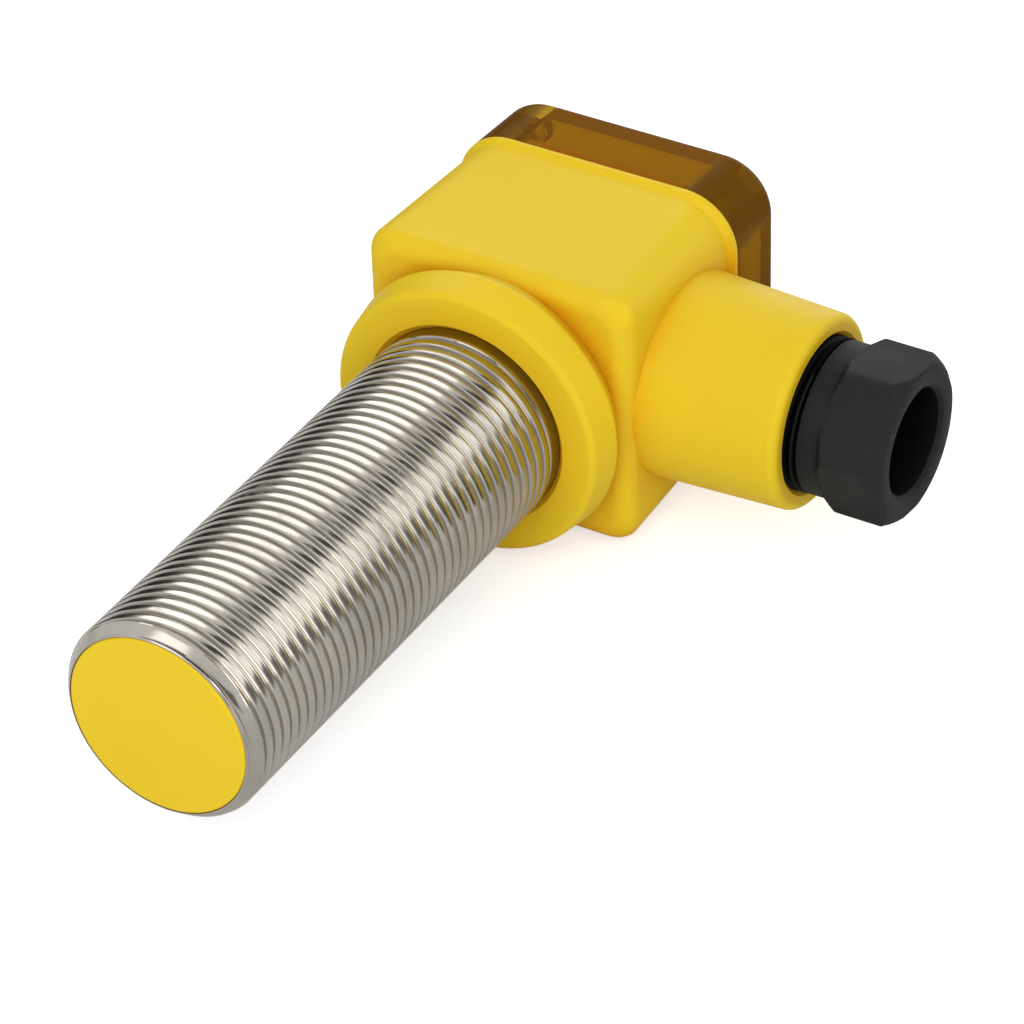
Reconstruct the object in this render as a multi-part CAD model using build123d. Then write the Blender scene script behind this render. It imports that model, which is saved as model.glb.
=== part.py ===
from build123d import *
import os
from math import cos, radians, sin

# Inductive proximity sensor with a threaded metal barrel and a terminal housing.
# Millimetres. The origin is the centre of the sensing face. +Y runs along the barrel
# into the housing, +X along the cable gland, +Z up. STEP files go to parts/.

# Barrel: M30 x 2 outside thread, drawn as its full diameter
barrel_r = 15.0
barrel_thread_end = 74.6
barrel_face_r = 13.75
barrel_chamfer = 1.5
barrel_lip = 0.2
barrel_bore_r = 13.0
barrel_rear_bore_r = 11.8
barrel_bore_step = 68.0
barrel_bore_cone = 1.2
neck_r = 14.75
neck_step = 0.4
spigot_r = 13.9
spigot_start = 80.0
o_ring_start = 81.8
o_ring_width = 1.8
o_ring_depth = 1.3
o_ring_play = 0.01
retaining_ring_r = 15.2
retaining_ring_thickness = 1.2
ring_groove_depth = 0.7
ring_gap_half = 2.2
ring_ear_x = 3.3
ring_ear_r = 1.7
ring_ear_hole_r = 0.6
ring_ear_lift = 0.1

# Sensing face cap, coil and core
cap_face_r = 13.4
cap_flange = 2.8
cap_length = 18.0
cap_wall = 1.05
core_height = 8.0
core_wall = 1.5
core_floor = 2.2
core_post_r = 4.6
core_hole_r = 1.6
bobbin_wall = 0.5

# Housing: collar, box, rim and boss
collar_face = 76.4
collar_edge_r = 1.0
collar_back_edge_r = 0.8
collar_mouth_r = 15.6
collar_back = 81.7
collar_draft = 0.8
collar_sunk = 3.0
front_steps = 5
box_front = 85.25
box_draft_x = 0.4
box_draft_z = 0.3
box_front_corner_r = 3.6
box_front_edge_r = 2.8
box_rear_half_x = 21.4
box_rear_half_z = 20.6
box_rear_corner_r = 7.2
rim_start = 112.7
rim_flat = 113.6
joint_y = 114.2
rim_step_x = 1.0
rim_step_z = 0.7
rim_corner_r = 8.2
wall = 3.0
chamber_corner_r = 4.6
tongue_height = 2.9
tongue_wall = 1.1
tongue_short_x = 9.6
tongue_short_z = 9.9

# Cable boss on the right side, and its Pg 16 gland screw
gland_y = 101.9
boss_end = 42.25
boss_end_r = 14.15
boss_slope = 0.043
boss_edge_r = 1.4
gland_bore_r = 11.25
gland_mouth_r = 11.85
seal_shelf = 24.0
seal_length = 7.0
seal_bore_r = 5.2
passage_r = 8.2
screw_inner_end = 34.5
screw_thread_end = 44.0
screw_neck_r = 11.05
screw_hex_start = 47.3
screw_hex_across = 22.0
screw_hex_corner_r = 12.45
screw_end = 57.0
screw_front_r = 11.4
screw_bore_r = 7.75
screw_hex_turn = 37.0
washer_thickness = 1.2

# Cover
cover_depth = 12.6
cover_draft_x = 0.5
cover_draft_z = 0.4
cover_rear_corner_r = 7.8
cover_edge_r = 2.4
cover_wall_x = 2.7
cover_wall_z = 2.4
cover_back_wall = 3.7
corner_block_size = 8.0
cover_screw_edge_x = 5.8
cover_screw_edge_z = 5.7
cover_screw_r = 1.5
cover_screw_length = 22.0
cover_head_r = 2.8
cover_head_height = 2.4
cover_head_sink = 3.2
post_r = 3.5

# Gasket in the rim
gasket_width = 1.3
gasket_depth = 1.2
gasket_offset = 0.45

# Electronics
board_half_x = 9.5
board_thickness = 1.6
board_start = 13.0
board_end = 90.0
chip_y = 26.0
trimmer_y = 33.5
capacitor_y = 40.0
capacitor_length = 10.0
diode_places = (52.0, 57.0)
transistor_y = 62.0
wire_hole_y = 72.0
wire_hole_r = 1.6
board_corner = 1.6
carrier_length = 5.2
plug_start = 84.0
plug_end = 92.5
pin_pitch = 2.54
pin_count = 4
pin_r = 0.32
terminal_board_gap = 0.1
terminal_board_thickness = 1.6
board_screw_x = 9.5
board_screw_edge = 2.6
board_screw_depth = 3.2
board_screw_head_r = 1.9
board_screw_head = 1.2
lamp_x = 8.0
lamp_z = 8.0
lamp_height = 4.6
board_screw_r = 1.0
board_boss_r = 2.2

# Terminal block
pole_count = 4
pole_pitch = 6.2
block_x = -9.4
block_depth = 10.0
block_height = 11.0
clamp_size = 5.2
wire_hole = 3.4
terminal_screw_r = 1.4
terminal_head_r = 2.2

# Clearances
run = 0.07
fit = 0.05
loose = 0.3
skin = 0.02


def section(y, half_x, half_z, corner):
    """A rounded rectangle across the barrel's axis, at y."""
    plane = Plane(origin=(0, y, 0), x_dir=(1, 0, 0), z_dir=(0, 1, 0))
    return plane * RectangleRounded(2 * half_x, 2 * half_z, corner)


def prism(y0, y1, half_x, half_z, corner):
    """A rounded block along the barrel's axis."""
    return extrude(section(y0, half_x, half_z, corner), amount=y1 - y0)


def y_rod(radius, y0, y1, x=0.0, z=0.0):
    """A cylinder along +Y."""
    rod = Cylinder(radius, y1 - y0, align=(Align.CENTER, Align.CENTER, Align.MIN))
    return Pos(x, y0, z) * Rot(-90, 0, 0) * rod


def x_rod(radius, x0, x1, y=0.0, z=0.0):
    """A cylinder along +X."""
    rod = Cylinder(radius, x1 - x0, align=(Align.CENTER, Align.CENTER, Align.MIN))
    return Pos(x0, y, z) * Rot(0, 90, 0) * rod


def block(x0, x1, y0, y1, z0, z1):
    """A plain box between two corners."""
    middle = Pos((x0 + x1) / 2, (y0 + y1) / 2, (z0 + z1) / 2)
    return middle * Box(x1 - x0, y1 - y0, z1 - z0)


def turned_y(points, rounds=None):
    """Turn an outline of (radius, y) points about the barrel's axis. rounds gives
    the radius of each rounded corner by its place in the outline."""
    radii = [0.0] * len(points)
    for place, radius in (rounds or {}).items():
        radii[place] = radius
    outline = FilletPolyline(*[(r, y) for r, y in points], radius=radii, close=True)
    return revolve(make_face(outline), axis=Axis.Y)


def turned_x(points, rounds=None):
    """Turn an outline of (x, radius) points about the gland's axis."""
    radii = [0.0] * len(points)
    for place, radius in (rounds or {}).items():
        radii[place] = radius
    outline = FilletPolyline(*[(x, r) for x, r in points], radius=radii, close=True)
    return Pos(0, gland_y, 0) * revolve(make_face(outline), axis=Axis.X)


# Places worked out from the driving sizes
box_front_half_x = box_rear_half_x - box_draft_x
box_front_half_z = box_rear_half_z - box_draft_z
rim_half_x = box_rear_half_x + rim_step_x
rim_half_z = box_rear_half_z + rim_step_z
collar_r = rim_half_z
collar_sunk_r = box_front_half_z - collar_sunk
tongue_half_length_x = rim_half_x - tongue_short_x
tongue_half_length_z = rim_half_z - tongue_short_z
cover_rear_half_x = rim_half_x - cover_draft_x
cover_rear_half_z = rim_half_z - cover_draft_z
corner_block_x = rim_half_x - corner_block_size
corner_block_z = rim_half_z - corner_block_size
cover_screw_x = rim_half_x - cover_screw_edge_x
cover_screw_z = rim_half_z - cover_screw_edge_z
cap_inner_r = barrel_bore_r - fit - cap_wall
core_start = cap_flange
core_end = core_start + core_height
core_r = cap_inner_r - fit
carrier_end = core_end + carrier_length
chamber_front = box_front + wall
chamber_half_x = box_rear_half_x - wall
chamber_half_z = box_rear_half_z - wall
board_screw_z = chamber_half_z - board_screw_edge
beyond = 2 * rim_half_x
spigot_end = plug_end
terminal_board_y = plug_end + terminal_board_gap
terminal_board_back = terminal_board_y + terminal_board_thickness
cover_back = joint_y + cover_depth
screw_head_seat = cover_back - cover_head_sink - cover_head_height
screw_tip = screw_head_seat - cover_screw_length
pin_z = board_thickness / 2 + pin_r + skin
seal_end = seal_shelf + seal_length
washer_start = screw_inner_end - washer_thickness
tongue_half_x = chamber_half_x + tongue_wall
tongue_half_z = chamber_half_z + tongue_wall
pocket_half_x = rim_half_x - cover_wall_x
pocket_half_z = rim_half_z - cover_wall_z
block_bottom = terminal_board_back
block_top = block_bottom + block_height
block_half_z = pole_count * pole_pitch / 2
corners = [(sx, sz) for sx in (-1, 1) for sz in (-1, 1)]
pole_places = [(i - (pole_count - 1) / 2) * pole_pitch for i in range(pole_count)]
pin_places = [(i - (pin_count - 1) / 2) * pin_pitch for i in range(pin_count)]
board_screw_places = [(-board_screw_x, board_screw_z), (board_screw_x, -board_screw_z)]


def threaded_barrel():
    """Turned tube: chamfered front lip, thread diameter, plain neck and spigot."""
    groove_start = chamber_front + skin
    groove_end = groove_start + retaining_ring_thickness
    groove_r = spigot_r - ring_groove_depth
    o_ring_r = spigot_r - o_ring_depth
    o_ring_end = o_ring_start + o_ring_width
    outline = [
        (cap_face_r + fit, barrel_lip),
        (barrel_face_r, barrel_lip),
        (barrel_r, barrel_chamfer),
        (barrel_r, barrel_thread_end),
        (neck_r, barrel_thread_end + neck_step),
        (neck_r, spigot_start),
        (spigot_r, spigot_start),
        (spigot_r, o_ring_start),
        (o_ring_r, o_ring_start),
        (o_ring_r, o_ring_end),
        (spigot_r, o_ring_end),
        (spigot_r, groove_start),
        (groove_r, groove_start),
        (groove_r, groove_end),
        (spigot_r, groove_end),
        (spigot_r, spigot_end),
        (barrel_rear_bore_r, spigot_end),
        (barrel_rear_bore_r, barrel_bore_step + barrel_bore_cone),
        (barrel_bore_r, barrel_bore_step),
        (barrel_bore_r, cap_flange),
        (cap_face_r + fit, cap_flange),
    ]
    return turned_y(outline)


def sensing_face_cap():
    """Plastic cup: the yellow disc is its floor, and its skirt holds the core."""
    outline = [
        (0, 0),
        (cap_face_r, 0),
        (cap_face_r, cap_flange),
        (barrel_bore_r - fit, cap_flange),
        (barrel_bore_r - fit, cap_length),
        (cap_inner_r, cap_length),
        (cap_inner_r, cap_flange),
        (0, cap_flange),
    ]
    return turned_y(outline, {1: 0.5, 4: 0.3})


def ferrite_core():
    """Half of a pot core, open to the sensing face."""
    floor_start = core_end - core_floor
    outline = [
        (core_hole_r, core_start),
        (core_post_r, core_start),
        (core_post_r, floor_start),
        (core_r - core_wall, floor_start),
        (core_r - core_wall, core_start),
        (core_r, core_start),
        (core_r, core_end),
        (core_hole_r, core_end),
    ]
    core = turned_y(outline)
    slot = block(-1.5, 1.5, core_start - 1, core_end + 1, core_r - core_wall - 1, core_r + 1)
    return core - slot


def bobbin_sizes():
    """Inner radius, outer radius, start and end of the bobbin in the core."""
    inner = core_post_r + fit
    outer = core_r - core_wall - fit
    start = core_start
    end = core_end - core_floor
    return inner, outer, start, end


def coil_bobbin():
    """Spool with two flanges, in the core's ring-shaped groove."""
    inner, outer, start, end = bobbin_sizes()
    hub = inner + bobbin_wall
    outline = [
        (inner, start),
        (outer, start),
        (outer, start + bobbin_wall),
        (hub, start + bobbin_wall),
        (hub, end - bobbin_wall),
        (outer, end - bobbin_wall),
        (outer, end),
        (inner, end),
    ]
    return turned_y(outline)


def sensing_coil():
    """The winding, as one ring that fills the spool to just under its flanges."""
    inner, outer, start, end = bobbin_sizes()
    hub = inner + bobbin_wall + skin
    outline = [
        (hub, start + bobbin_wall + skin),
        (outer - 0.5, start + bobbin_wall + skin),
        (outer - 0.5, end - bobbin_wall - skin),
        (hub, end - bobbin_wall - skin),
    ]
    return turned_y(outline, {1: 0.4, 2: 0.4})


def board_blank(clearance=0.0):
    """The board's outline, with more room round it where it is used as a cut."""
    half = board_thickness / 2 + clearance
    return block(-board_half_x - clearance, board_half_x + clearance,
                 board_start - clearance, board_end + clearance, -half, half)


def core_carrier():
    """Spacer behind the core, with a slot for the front of the board and a wire notch."""
    outline = [
        (0, core_end),
        (core_r, core_end),
        (core_r, carrier_end),
        (0, carrier_end),
    ]
    carrier = turned_y(outline, {2: 0.6})
    carrier -= board_blank(fit)
    notch = y_rod(1.4, core_end - 1, carrier_end + 1, 0, core_r - 2.4)
    return carrier - notch


def circuit_board():
    """The board along the barrel, narrowed at its front corners."""
    board = board_blank()
    for side in (-1, 1):
        corner = Pos(side * board_half_x, board_start, 0) * Rot(0, 0, 45)
        corner = corner * Box(board_corner, board_corner, 3 * board_thickness)
        board -= corner
    hole = Pos(0, wire_hole_y, 0) * Cylinder(wire_hole_r, 3 * board_thickness)
    return board - hole


def chip(x, y, width, length, height):
    """A surface-mounted package with its rows of leads, standing on the board."""
    top = board_thickness / 2
    body = Pos(x, y, top + 0.1 + height / 2) * Box(width, length, height)
    lead_count = 4
    for side in (-1, 1):
        for i in range(lead_count):
            place = y + (i - (lead_count - 1) / 2) * length / lead_count
            lead_x = x + side * (width / 2 + 0.45)
            body += Pos(lead_x, place, top + 0.175) * Box(1.0, 0.4, 0.35)
    return body


def oscillator_chip():
    return chip(0.0, chip_y, 3.9, 4.9, 1.5)


def output_transistor():
    """Power package with one wide tab and three leads."""
    top = board_thickness / 2
    body = Pos(0, transistor_y, top + 0.1 + 0.8) * Box(6.5, 3.5, 1.6)
    body += Pos(0, transistor_y + 2.4, top + 0.2) * Box(3.0, 1.6, 0.4)
    for i in (-1, 0, 1):
        body += Pos(i * 2.3, transistor_y - 2.3, top + 0.2) * Box(0.7, 1.4, 0.4)
    return body


def smoothing_capacitor():
    """Round can lying on the board, with a rolled groove and two leads."""
    can_r = 3.0
    can_start = capacitor_y
    can_end = capacitor_y + capacitor_length
    z = board_thickness / 2 + can_r + skin
    can = y_rod(can_r, can_start, can_end, 0, z)
    ring = y_rod(can_r + 1, can_start + 1.2, can_start + 1.8, 0, z)
    ring -= y_rod(can_r - 0.25, can_start + 1.2, can_start + 1.8, 0, z)
    can -= ring
    for side in (-1, 1):
        x = side * 1.25
        can += y_rod(0.3, can_start - 2.0, can_start, x, z)
        bottom = board_thickness / 2 + skin
        can += Pos(x, can_start - 2.0, (bottom + z) / 2) * Cylinder(0.3, z - bottom)
    return can


def trimmer():
    """Square trimming resistor with a slotted adjuster."""
    top = board_thickness / 2
    body = Pos(0, trimmer_y, top + 1.0) * Box(4.0, 4.0, 2.0)
    adjuster = Pos(0, trimmer_y, top + 2.25) * Cylinder(1.4, 0.5)
    adjuster -= Pos(0, trimmer_y, top + 2.4) * Box(0.5, 3.0, 0.3)
    return body + adjuster


def protection_diodes():
    """Two flat diodes with end caps, on the under side of the board."""
    under = -board_thickness / 2
    solids = []
    for y in diode_places:
        body = Pos(0, y, under - 0.1 - 1.0) * Box(4.4, 2.6, 2.0)
        for side in (-1, 1):
            body += Pos(side * 2.4, y, under - 0.35) * Box(0.9, 1.6, 0.7)
        solids.append(body)
    return Compound(solids)


def rear_plug():
    """Plug in the barrel's rear bore: slot for the board, holes for the pins."""
    outline = [
        (0, plug_start),
        (barrel_rear_bore_r - fit, plug_start),
        (barrel_rear_bore_r - fit, plug_end),
        (0, plug_end),
    ]
    plug = turned_y(outline, {1: 0.5})
    plug -= board_blank(fit)
    for x in pin_places:
        plug -= y_rod(pin_r + fit, plug_start - 1, plug_end + 1, x, pin_z)
    return plug


def link_pins():
    """Straight pins from the long board through the plug and the terminal board."""
    pin_start = plug_start - 2.0
    pin_end = terminal_board_back + 0.9
    return Compound([y_rod(pin_r, pin_start, pin_end, x, pin_z) for x in pin_places])


def barrel_o_ring():
    """O-ring in the spigot's groove, touching the groove and the housing's bore."""
    groove_r = spigot_r - o_ring_depth
    bore_r = spigot_r + fit
    cord_r = (bore_r - groove_r) / 2 - o_ring_play
    ring = Torus(groove_r + cord_r + o_ring_play, cord_r)
    return Pos(0, o_ring_start + o_ring_width / 2, 0) * Rot(-90, 0, 0) * ring


def retaining_ring():
    """Open snap ring in the spigot's rear groove, against the front wall."""
    start = chamber_front + skin
    end = start + retaining_ring_thickness - 2 * skin
    inner = spigot_r - ring_groove_depth + fit
    ring = y_rod(retaining_ring_r, start, end) - y_rod(inner, start, end)
    gap = block(-ring_gap_half, ring_gap_half, start - 1, end + 1, -beyond, 0)
    inside_ears = y_rod(spigot_r + ring_ear_lift, start - 1, end + 1)
    ear_z = -(spigot_r + ring_ear_lift)
    ring -= gap
    for side in (-1, 1):
        ear = y_rod(ring_ear_r, start, end, side * ring_ear_x, ear_z)
        ring += ear - inside_ears
        hole_z = ear_z - ring_ear_hole_r + ring_ear_lift
        ring -= y_rod(ring_ear_hole_r, start - 1, end + 1, side * ring_ear_x, hole_z)
    return ring


def front_section(step):
    """One slice of the box's rounded front, smaller towards the collar."""
    turn = radians(90 * step / front_steps)
    y = box_front + box_front_edge_r * (1 - cos(turn))
    inset = box_front_edge_r * (1 - sin(turn))
    return section(y, box_front_half_x - inset, box_front_half_z - inset, box_front_corner_r)


def housing_outside():
    """Box that grows softer corners to the back, with its rim."""
    nose = loft([front_section(step) for step in range(front_steps + 1)])
    box = loft([
        front_section(front_steps),
        section(rim_start, box_rear_half_x, box_rear_half_z, box_rear_corner_r),
    ], ruled=True)
    box = nose + box
    step = loft([
        section(rim_start, box_rear_half_x, box_rear_half_z, box_rear_corner_r),
        section(rim_flat, rim_half_x, rim_half_z, rim_corner_r),
    ], ruled=True)
    rim = prism(rim_flat, joint_y, rim_half_x, rim_half_z, rim_corner_r)
    return box + step + rim


def housing_collar():
    """Round collar that widens to its back edge, then slopes down into the box."""
    sunk = box_front + box_front_edge_r
    return turned_y([
        (0, collar_face),
        (collar_r - collar_draft, collar_face),
        (collar_r, collar_back),
        (collar_sunk_r, sunk),
        (0, sunk),
    ], {1: collar_edge_r, 2: collar_back_edge_r})


def boss_r(x):
    """Outside radius of the conical boss at x."""
    return boss_end_r + boss_slope * (boss_end - x)


def housing_boss():
    """Conical boss for the gland, set back from the cover beside it."""
    root = chamber_half_x + 0.5
    boss = turned_x([
        (root, 0),
        (boss_end, 0),
        (boss_end, boss_end_r),
        (root, boss_r(root)),
    ], {2: boss_edge_r})
    beside_cover = block(0, rim_half_x + loose, joint_y, cover_back, -beyond, beyond)
    return boss - beside_cover


def housing_chamber():
    """The room behind the front wall, with what stays standing in it."""
    room = prism(chamber_front, joint_y + 1, chamber_half_x, chamber_half_z, chamber_corner_r)
    for sx, sz in corners:
        room -= y_rod(post_r, chamber_front, joint_y + 1, sx * cover_screw_x, sz * cover_screw_z)
    for x, z in board_screw_places:
        side = 1 if z > 0 else -1
        boss = y_rod(board_boss_r, chamber_front, terminal_board_y, x, z)
        web = block(x - board_boss_r, x + board_boss_r, chamber_front, terminal_board_y,
                    min(z, side * (chamber_half_z + 1)), max(z, side * (chamber_half_z + 1)))
        room -= boss + web
    return room


def housing_tongue():
    """Locating lips that stand above the joint, inside the cover."""
    top = joint_y + tongue_height
    ring = prism(joint_y - 0.5, top, tongue_half_x, tongue_half_z, chamber_corner_r + tongue_wall)
    ring -= prism(joint_y - 1, top + 1, chamber_half_x, chamber_half_z, chamber_corner_r)
    keep_x = block(-tongue_half_length_x, tongue_half_length_x, joint_y - 1, top + 1,
                   -beyond, beyond)
    keep_z = block(-beyond, beyond, joint_y - 1, top + 1,
                   -tongue_half_length_z, tongue_half_length_z)
    return (ring & keep_x) + (ring & keep_z)


def gasket_ring(extra, y0, y1):
    """Band that follows the rim, wider by extra on both sides."""
    inner_x = tongue_half_x + gasket_offset - extra
    inner_z = tongue_half_z + gasket_offset - extra
    outer_x = tongue_half_x + gasket_offset + gasket_width + extra
    outer_z = tongue_half_z + gasket_offset + gasket_width + extra
    corner = chamber_corner_r + tongue_wall + gasket_offset - extra
    outer_corner = corner + gasket_width + 2 * extra
    ring = prism(y0, y1, outer_x, outer_z, outer_corner)
    return ring - prism(y0 - 1, y1 + 1, inner_x, inner_z, corner)


def terminal_housing():
    """One moulding: collar, box, rim, boss, chamber, posts and bores."""
    body = housing_outside() + housing_collar() + housing_boss()
    body -= housing_chamber()
    body += housing_tongue()
    bore = turned_y([
        (0, collar_face - 1),
        (collar_mouth_r + 1.0, collar_face - 1),
        (neck_r + fit, collar_face + 0.85),
        (neck_r + fit, spigot_start),
        (spigot_r + fit, spigot_start),
        (spigot_r + fit, chamber_front + 1),
        (0, chamber_front + 1),
    ])
    body -= bore
    gland_bore = turned_x([
        (seal_shelf, 0),
        (boss_end + 1, 0),
        (boss_end + 1, gland_mouth_r + 1),
        (boss_end, gland_mouth_r),
        (boss_end - 0.6, gland_bore_r),
        (seal_shelf, gland_bore_r),
    ])
    body -= gland_bore
    body -= x_rod(passage_r, chamber_half_x - 2, seal_shelf + 1, gland_y)
    for sx, sz in corners:
        body -= y_rod(cover_screw_r, screw_tip - 1.5, joint_y + 1, sx * cover_screw_x,
                      sz * cover_screw_z)
    for x, z in board_screw_places:
        body -= y_rod(board_screw_r, terminal_board_y - board_screw_depth - loose,
                      terminal_board_y + 1, x, z)
    body -= gasket_ring(fit, joint_y - gasket_depth, joint_y + 1)
    return body


def cover_gasket():
    return gasket_ring(0.0, joint_y - gasket_depth, joint_y)


def clear_cover():
    """Amber lid: drafted walls, rounded back edge, corner blocks for the screws."""
    lid = loft([
        section(joint_y, rim_half_x, rim_half_z, rim_corner_r),
        section(cover_back, cover_rear_half_x, cover_rear_half_z, cover_rear_corner_r),
    ], ruled=True)
    lid = fillet(lid.edges().group_by(Axis.Y)[-1], cover_edge_r)
    floor = cover_back - cover_back_wall
    long_way = prism(joint_y - 1, floor, pocket_half_x, corner_block_z, 1.2)
    cross_way = prism(joint_y - 1, floor, corner_block_x, pocket_half_z, 1.2)
    lid -= long_way + cross_way
    for sx, sz in corners:
        x = sx * cover_screw_x
        z = sz * cover_screw_z
        lid -= y_rod(cover_screw_r + 0.15, joint_y - 1, cover_back + 1, x, z)
        lid -= y_rod(cover_head_r + 0.2, screw_head_seat, cover_back + 1, x, z)
    return lid


def cover_screw(sx, sz):
    """Cheese-head screw with a cross recess, through a corner of the cover."""
    x = sx * cover_screw_x
    z = sz * cover_screw_z
    head_end = screw_head_seat + cover_head_height
    shank = y_rod(cover_screw_r - fit, screw_tip, screw_head_seat, x, z)
    head = y_rod(cover_head_r, screw_head_seat, head_end, x, z)
    head = fillet(head.edges().group_by(Axis.Y)[-1], 0.5)
    screw = shank + head
    for turn in (0, 90):
        arm = Box(2.9, 1.3, 0.6)
        screw -= Pos(x, head_end - 0.65, z) * Rot(0, turn, 0) * arm
    return chamfer(screw.edges().group_by(Axis.Y)[0], 0.5)


def terminal_board():
    """Board across the chamber, cut back round the corner posts."""
    gap = 0.4
    board = prism(terminal_board_y, terminal_board_back, chamber_half_x - gap,
                  chamber_half_z - gap, chamber_corner_r - gap)
    for sx, sz in corners:
        board -= y_rod(post_r + gap, terminal_board_y - 1, terminal_board_back + 1,
                       sx * cover_screw_x, sz * cover_screw_z)
    for x in pin_places:
        board -= y_rod(pin_r + fit, terminal_board_y - 1, terminal_board_back + 1, x, pin_z)
    for x, z in board_screw_places:
        board -= y_rod(board_screw_r + 0.1, terminal_board_y - 1, terminal_board_back + 1, x, z)
    return board


def board_screw(x, z):
    """Small pan-head screw with a slot."""
    head_end = terminal_board_back + board_screw_head
    screw = y_rod(board_screw_r - fit, terminal_board_y - board_screw_depth,
                  terminal_board_back, x, z)
    head = y_rod(board_screw_head_r, terminal_board_back, head_end, x, z)
    head = fillet(head.edges().group_by(Axis.Y)[-1], 0.5)
    slot = Pos(x, head_end, z) * Box(4.4, 0.9, 0.5)
    return screw + head - slot


def terminal_block():
    """Four-pole block: stepped body, a clamp pocket, wire mouth and screw shaft each."""
    x0 = block_x - block_depth / 2
    x1 = block_x + block_depth / 2
    body = block(x0, x1, block_bottom, block_top, -block_half_z, block_half_z)
    upright = [e for e in body.edges() if abs(e.center().Y - block_top) < 0.01]
    body = chamfer([e for e in upright if abs(e.center().X - x1) < 0.01], 2.2)
    half = clamp_size / 2 + fit
    clamp_low = block_bottom + 0.8
    for z in pole_places:
        body -= block(block_x - half, x1 + 1, clamp_low - fit, clamp_low + clamp_size + fit,
                      z - half, z + half)
        body -= y_rod(terminal_head_r + 0.25, clamp_low, block_top + 1, block_x, z)
    for i in range(pole_count - 1):
        z = (pole_places[i] + pole_places[i + 1]) / 2
        body -= block(x1 - 2.6, x1 + 1, block_top - 3.4, block_top + 1, z - 0.4, z + 0.4)
    return body


def terminal_clamp(z):
    """Cage clamp: a square ring that the wire enters from the gland's side."""
    half = clamp_size / 2
    low = block_bottom + 0.8
    cage = block(block_x - half, block_x + half, low, low + clamp_size, z - half, z + half)
    mouth = wire_hole / 2
    cage -= block(block_x - half - 1, block_x + half + 1, low + 0.7, low + 0.7 + wire_hole,
                  z - mouth, z + mouth)
    cage -= y_rod(terminal_screw_r, low + 0.7, low + clamp_size + 1, block_x, z)
    return cage


def terminal_screw(z):
    """Slotted screw in the top of its clamp."""
    low = block_bottom + 0.8
    clamp_top = low + clamp_size
    seat = clamp_top + 0.9
    head_end = seat + 1.8
    screw = y_rod(terminal_screw_r - fit, low + 0.7 + wire_hole - 0.6, seat, block_x, z)
    head = y_rod(terminal_head_r, seat, head_end, block_x, z)
    head = chamfer(head.edges().group_by(Axis.Y)[-1], 0.3)
    slot = Pos(block_x, head_end, z) * Box(6.0, 1.8, 0.7)
    return screw + head - slot


def lamp(x, z):
    """Small domed lamp with a collar, standing on the terminal board."""
    base = terminal_board_back
    outline = FilletPolyline((0, 0), (1.9, 0), (1.9, 0.9), (1.5, 0.9), (1.5, lamp_height),
                             (0, lamp_height),
                             radius=[0, 0.2, 0, 0, 1.2, 0], close=True)
    dome = revolve(make_face(outline), axis=Axis.Y)
    return Pos(x, base, z) * dome


def cable_seal():
    """Rubber grommet on its shelf in the boss, with a coned mouth."""
    return turned_x([
        (seal_shelf, seal_bore_r),
        (seal_shelf, gland_bore_r - 0.15),
        (seal_end, gland_bore_r - 0.15),
        (seal_end, seal_bore_r + 1.2),
        (seal_end - 1.6, seal_bore_r),
        (seal_shelf + 1.0, seal_bore_r),
    ], {2: 0.9})


def thrust_washer():
    """Plain washer that the gland screw pushes against the seal."""
    return turned_x([
        (washer_start, screw_bore_r - 0.3),
        (washer_start, gland_bore_r - run),
        (screw_inner_end, gland_bore_r - run),
        (screw_inner_end, screw_bore_r - 0.3),
    ])


def gland_screw():
    """Black gland screw: threaded sleeve, neck and hexagon head, bored through."""
    thread_r = gland_bore_r - run
    sleeve = turned_x([
        (screw_inner_end, 0),
        (screw_inner_end, thread_r - 0.7),
        (screw_inner_end + 0.7, thread_r),
        (screw_thread_end - 1.0, thread_r),
        (screw_thread_end - 0.7, thread_r - 0.8),
        (screw_thread_end, thread_r - 0.8),
        (screw_thread_end, screw_neck_r),
        (screw_hex_start + 2, screw_neck_r),
        (screw_hex_start + 2, 0),
    ])
    plane = Plane(origin=(screw_hex_start, gland_y, 0), x_dir=(0, -1, 0), z_dir=(1, 0, 0))
    flats = plane * RegularPolygon(screw_hex_across / 2, 6, major_radius=False,
                                   rotation=screw_hex_turn)
    hexagon = extrude(flats, amount=screw_end - screw_hex_start)
    envelope = turned_x([
        (screw_hex_start, 0),
        (screw_hex_start, screw_neck_r + 0.3),
        (screw_hex_start + 1.0, screw_hex_corner_r),
        (screw_end - 1.6, screw_hex_corner_r),
        (screw_end, screw_front_r),
        (screw_end, 0),
    ], {2: 0.4, 3: 0.8, 4: 0.8})
    screw = sleeve + (hexagon & envelope)
    bore = turned_x([
        (screw_inner_end - 1, 0),
        (screw_inner_end - 1, screw_bore_r + 2.0),
        (screw_inner_end + 1.2, screw_bore_r),
        (screw_end - 0.7, screw_bore_r),
        (screw_end + 0.5, screw_bore_r + 1.2),
        (screw_end + 0.5, 0),
    ], {3: 0.8})
    return screw - bore


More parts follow.
